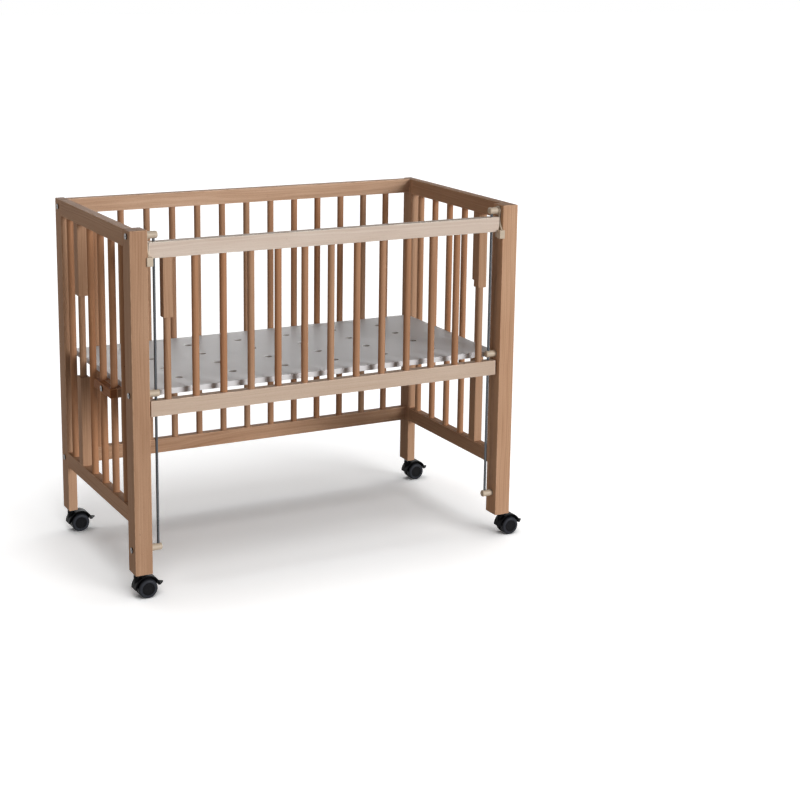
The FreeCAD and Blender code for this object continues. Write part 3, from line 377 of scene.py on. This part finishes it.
def moulded(name, colour, roughness, gloss):
    """Moulded plastic with a fine spark-eroded texture."""
    shader = Shader(name)
    place = shader.position()
    mottling = shader.spread(shader.noise(place, PLASTIC_MOTTLE_CELLS, detail=2.0))
    colour = shader.mix(mottling, *(scaled(colour, shade) for shade in PLASTIC_SHADES))
    sparks = shader.noise(place, SPARK_CELLS, detail=2.0)
    rough = shader.spread(sparks, roughness - SPARK_ROUGHNESS, roughness + SPARK_ROUGHNESS)
    return shader.finish(Base_Color=colour, Roughness=rough, Specular_IOR_Level=gloss,
                         Normal=shader.bump(sparks, SPARK_BUMP, SPARK_RELIEF))


def metal(name, colour, roughness):
    """Drawn steel with patches of finer and coarser finish."""
    shader = Shader(name)
    wear = shader.noise(shader.position(), STEEL_WEAR_CELLS, detail=3.0)
    colour = shader.mix(wear, scaled(colour, STEEL_WEAR_SHADE), colour)
    rough = shader.spread(wear, roughness - STEEL_SMOOTHER, roughness + STEEL_ROUGHER)
    return shader.finish(Base_Color=colour, Metallic=1.0, Roughness=rough,
                         Normal=shader.bump(wear, STEEL_BUMP, STEEL_RELIEF))


def bolt_steel(node):
    """Dark socket bolts, their outer faces drawn lighter than the near-black hexagonal recess."""
    shader = Shader(f"bolt {node}")
    rim_noise = shader.noise(shader.position(), BOLT_NOISE_CELLS, detail=2.0)
    rim_depth = shader.spread(rim_noise, BOLT_RIM_DEPTH, 2 * BOLT_RIM_DEPTH)
    rim = shader.math("LESS_THAN", shader.face_distance(0, *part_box(node)), rim_depth)
    return shader.finish(Base_Color=shader.mix(rim, BOLT_RECESS, BOLT_RIM), Metallic=1.0,
                         Roughness=shader.spread(rim_noise, *BOLT_ROUGHNESS),
                         Normal=shader.bump(rim_noise, BOLT_BUMP, STEEL_RELIEF))


# ---------------------------------------------------------------- wheels

HUB_CAP_RADIUS = 0.0143
SIDE_RING_RADIUS = 0.0195
TREAD_BLEND = 0.003
WHEEL_BACK_DEPTH = 0.0115
TREAD_LINES_PER_METRE = 900.0
TREAD_TONES = ((0.012, 0.013, 0.016), (0.022, 0.024, 0.028))
SIDE_TONES = ((0.024, 0.026, 0.033), (0.036, 0.038, 0.046))
CAP_TONES = ((0.003, 0.003, 0.004), (0.014, 0.014, 0.016))
CAP_CLOUD_CENTRE = 0.75
CAP_CLOUD_RIM = 0.25
BRAKE_RING = (0.006, 0.006, 0.007)
CLOUD_CELLS = 260.0
GRIT_CELLS = 3200.0
GRIT_HEIGHT = 0.5
WHEEL_BUMP = 0.2
WHEEL_RELIEF = 0.0002
WHEEL_ROUGHNESS = (0.34, 0.48)
WHEEL_GLOSS = 0.08


def wheel_rubber(node):
    """Twin wheel: gunmetal tread, smooth grey side ring, clouded hub cap and black brake ring."""
    low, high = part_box(node)
    shader = Shader(f"wheel {node}")
    place = shader.position()
    x, y, z = shader.split(place)
    radius = shader.radius(shader.math("SUBTRACT", x, (low.x + high.x) / 2),
                           shader.math("SUBTRACT", z, (low.z + high.z) / 2))
    outer_face = low.y if node.endswith("wheel_front") else high.y
    depth = shader.math("ABSOLUTE", shader.math("SUBTRACT", y, outer_face))
    cloud = shader.noise(place, CLOUD_CELLS, detail=4.0, roughness=0.7)
    grit = shader.noise(place, GRIT_CELLS, detail=2.0)

    tread_lines = shader.lines(shader.math("MULTIPLY", depth, TREAD_LINES_PER_METRE), detail=2.0)
    tread = shader.mix(tread_lines, *TREAD_TONES)
    on_tread = shader.stretch(radius, SIDE_RING_RADIUS, SIDE_RING_RADIUS + TREAD_BLEND)
    colour = shader.mix(on_tread, shader.mix(cloud, *SIDE_TONES), tread)
    cap_centre = shader.stretch(radius, 0.0, HUB_CAP_RADIUS, CAP_CLOUD_CENTRE, CAP_CLOUD_RIM)
    cap = shader.mix(shader.math("MULTIPLY", shader.spread(cloud), cap_centre), *CAP_TONES)
    on_cap = shader.math("LESS_THAN", radius, HUB_CAP_RADIUS)
    colour = shader.mix(on_cap, colour, cap)
    colour = shader.mix(shader.math("GREATER_THAN", depth, WHEEL_BACK_DEPTH), colour, BRAKE_RING)

    height = shader.blend((grit, GRIT_HEIGHT), (cloud, on_cap))
    return shader.finish(Base_Color=colour, Roughness=shader.spread(cloud, *WHEEL_ROUGHNESS),
                         Normal=shader.bump(height, WHEEL_BUMP, WHEEL_RELIEF), Specular_IOR_Level=WHEEL_GLOSS)


# ---------------------------------------------------------------- base board

BOARD_FACE_TONES = ((0.70, 0.715, 0.735), (0.76, 0.775, 0.795))
BOARD_EDGE_TONES = ((0.70, 0.70, 0.715), (0.77, 0.77, 0.785))
BOARD_PORE = (0.35, 0.34, 0.33)
BOARD_PORE_SHARE = 0.12
PORE_LOW = 0.62
PORE_HIGH = 0.75
BOARD_CORE = (0.42, 0.38, 0.35)
BOARD_SKIN = 0.0016
MOTTLE_CELLS = 35.0
PORE_CELLS = 900.0
SIDE_LOW = 0.4
SIDE_HIGH = 0.6
BOARD_BUMP = 0.03
BOARD_RELIEF = 0.0003
BOARD_ROUGHNESS = (0.42, 0.52)
BOARD_GLOSS = 0.35


def laminate():
    """White laminate on both faces and round the edge, with the core showing in the air holes."""
    low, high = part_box("bed_board")
    shader = Shader("board laminate")
    place = shader.position()
    mottle = shader.noise(place, MOTTLE_CELLS, detail=3.0)
    pores = shader.noise(place, PORE_CELLS, detail=2.0)
    pores = shader.stretch(pores, PORE_LOW, PORE_HIGH, 0.0, BOARD_PORE_SHARE)
    face = shader.mix(pores, shader.mix(mottle, *BOARD_FACE_TONES), BOARD_PORE)
    on_side = shader.stretch(shader.facing(2), SIDE_LOW, SIDE_HIGH, 1.0, 0.0)
    colour = shader.mix(on_side, face, shader.mix(mottle, *BOARD_EDGE_TONES))

    # Sides further in than the board is thick are the holes' own
    in_hole = shader.math("GREATER_THAN", shader.edge_distance(low, high), high.z - low.z)
    from_top = shader.math("SUBTRACT", high.z, shader.split(place)[2])
    under_skin = shader.math("GREATER_THAN", from_top, BOARD_SKIN)
    on_core = shader.math("MULTIPLY", on_side, shader.math("MULTIPLY", in_hole, under_skin))
    return shader.finish(Base_Color=shader.mix(on_core, colour, BOARD_CORE),
                         Roughness=shader.spread(mottle, *BOARD_ROUGHNESS),
                         Normal=shader.bump(mottle, BOARD_BUMP, BOARD_RELIEF),
                         Specular_IOR_Level=BOARD_GLOSS)


# ---------------------------------------------------------------- dressing the nodes


def wood_of(node, seed):
    """The beech of one node, with a painted highlight along its edges where it is a single rail, post or
    block.
    """
    grain = next(GRAIN_OF[stem] for stem in GRAIN_OF if node.startswith(stem))
    highlight_box = None if "bar" in node or "dowels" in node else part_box(node)
    return wood(f"wood {node}", TONES_OF.get(node, BEECH), grain, "bars" in node, seed, highlight_box)


def paint_nodes():
    """Gives each node the one material of its slot."""
    beige = moulded("beige plastic", BEIGE, BEIGE_ROUGHNESS, BEIGE_GLOSS)
    black = moulded("black plastic", BLACK, BLACK_ROUGHNESS, BLACK_GLOSS)
    steel = metal("plated steel", STEEL, STEEL_ROUGHNESS)
    rod_steel = metal("rod steel", ROD_STEEL, ROD_ROUGHNESS)
    board = laminate()
    seed = 0.0
    for entry in RECORD["subparts"]:
        node = entry["node"]
        slot = entry["material_slot"]
        seed += SEED_STEP
        if slot == "wood":
            material = wood_of(node, seed)
        elif slot == "beige_plastic":
            material = beige
        elif slot == "steel":
            material = rod_steel if node.startswith("guide_rod") else steel
        elif slot == "bolt_steel":
            material = bolt_steel(node)
        elif slot == "black_plastic":
            material = black
        elif slot == "caster_wheel":
            material = wheel_rubber(node)
        else:
            material = board
        mesh = NODES[node].data
        mesh.materials.clear()
        mesh.materials.append(material)


# ---------------------------------------------------------------- stage and light

# Level of the room's even light, as a share of white
ROOM_LEVEL = 0.07

# Soft distant lamps: direction, level as a share of white, softness in degrees and colour
WHITE = (1.0, 1.0, 1.0)
WARM_WHITE = (1.0, 0.84, 0.70)
CRIB_LAMPS = {"key": ((0.42, -0.87, 0.22), 0.83, 26.0, WHITE),
              "top": ((0.45, -0.05, 0.85), 0.04, 70.0, WHITE),
              "fill": ((-0.90, -0.25, 0.20), 0.165, 40.0, WARM_WHITE),
              "back": ((0.08, 0.99, 0.04), 0.34, 50.0, WHITE)}
FLOOR_LAMPS = {"floor front": ((0.0, -0.60, 0.80), 0.55, 45.0, WHITE),
               "floor top": ((0.0, 0.20, 0.98), 0.34, 45.0, WHITE),
               "floor right": ((0.6, 0.0, 0.8), 0.12, 45.0, WHITE)}

# The floor answers its own lamps strongly, so that the crib's shadow shows on pure white
FLOOR_HALF = 30.0
FLOOR_BOUNCE = 0.29
FLOOR_SEEN = 1.2
FLOOR_GLOW = 0.05


def make_floor():
    corners = [(x * FLOOR_HALF, y * FLOOR_HALF, 0) for x, y in ((-1, -1), (1, -1), (1, 1), (-1, 1))]
    mesh = bpy.data.meshes.new("floor")
    mesh.from_pydata(corners, [], [(0, 1, 2, 3)])
    floor = bpy.data.objects.new("floor", mesh)
    bpy.context.scene.collection.objects.link(floor)
    shader = Shader("floor")
    rays = shader.add("ShaderNodeLightPath").outputs
    seen = shader.math("MAXIMUM", rays["Is Camera Ray"], rays["Is Glossy Ray"])
    white = shader.stretch(seen, 0.0, 1.0, FLOOR_BOUNCE, FLOOR_SEEN)
    diffuse = shader.add("ShaderNodeBsdfDiffuse", {"Color": shader.join(white, white, white)})
    glow = shader.add("ShaderNodeEmission", {"Strength": shader.math("MULTIPLY", seen, FLOOR_GLOW)})
    both = shader.add("ShaderNodeAddShader", {0: diffuse.outputs[0], 1: glow.outputs[0]})
    shader.add("ShaderNodeOutputMaterial", {0: both.outputs[0]})
    mesh.materials.append(shader.material)
    return floor


def make_world():
    """White where the camera or a reflection sees it, and a dim even light otherwise."""
    world = bpy.data.worlds.new("studio")
    bpy.context.scene.world = world
    world.use_nodes = True
    nodes = world.node_tree.nodes
    links = world.node_tree.links
    nodes.clear()
    rays = nodes.new("ShaderNodeLightPath").outputs
    seen = nodes.new("ShaderNodeMath")
    seen.operation = "MAXIMUM"
    links.new(rays["Is Camera Ray"], seen.inputs[0])
    links.new(rays["Is Glossy Ray"], seen.inputs[1])
    level = nodes.new("ShaderNodeMapRange")
    level.inputs["To Min"].default_value = ROOM_LEVEL
    level.inputs["To Max"].default_value = 1.0
    links.new(seen.outputs[0], level.inputs["Value"])
    background = nodes.new("ShaderNodeBackground")
    background.inputs[0].default_value = (*WHITE, 1.0)
    links.new(level.outputs[0], background.inputs[1])
    output = nodes.new("ShaderNodeOutputWorld")
    links.new(background.outputs[0], output.inputs[0])


def make_lamps(lamps, floor, floor_state):
    """Distant lamps that light either everything but the floor, or the floor alone."""
    for name, (towards, level, softness, colour) in lamps.items():
        data = bpy.data.lights.new(name, "SUN")
        data.angle = math.radians(softness)
        data.energy = level * math.pi
        data.color = colour
        lamp = bpy.data.objects.new(name, data)
        lamp.rotation_euler = Vector(towards).to_track_quat("Z", "Y").to_euler()
        bpy.context.scene.collection.objects.link(lamp)
        receivers = bpy.data.collections.new(f"{name} receivers")
        receivers.objects.link(floor)
        receivers.collection_objects[0].light_linking.link_state = floor_state
        lamp.light_linking.receiver_collection = receivers


make_camera()
stage_floor = make_floor()
make_world()
make_lamps(CRIB_LAMPS, stage_floor, "EXCLUDE")
make_lamps(FLOOR_LAMPS, stage_floor, "INCLUDE")
paint_nodes()
bpy.context.scene.view_settings.view_transform = "Standard"
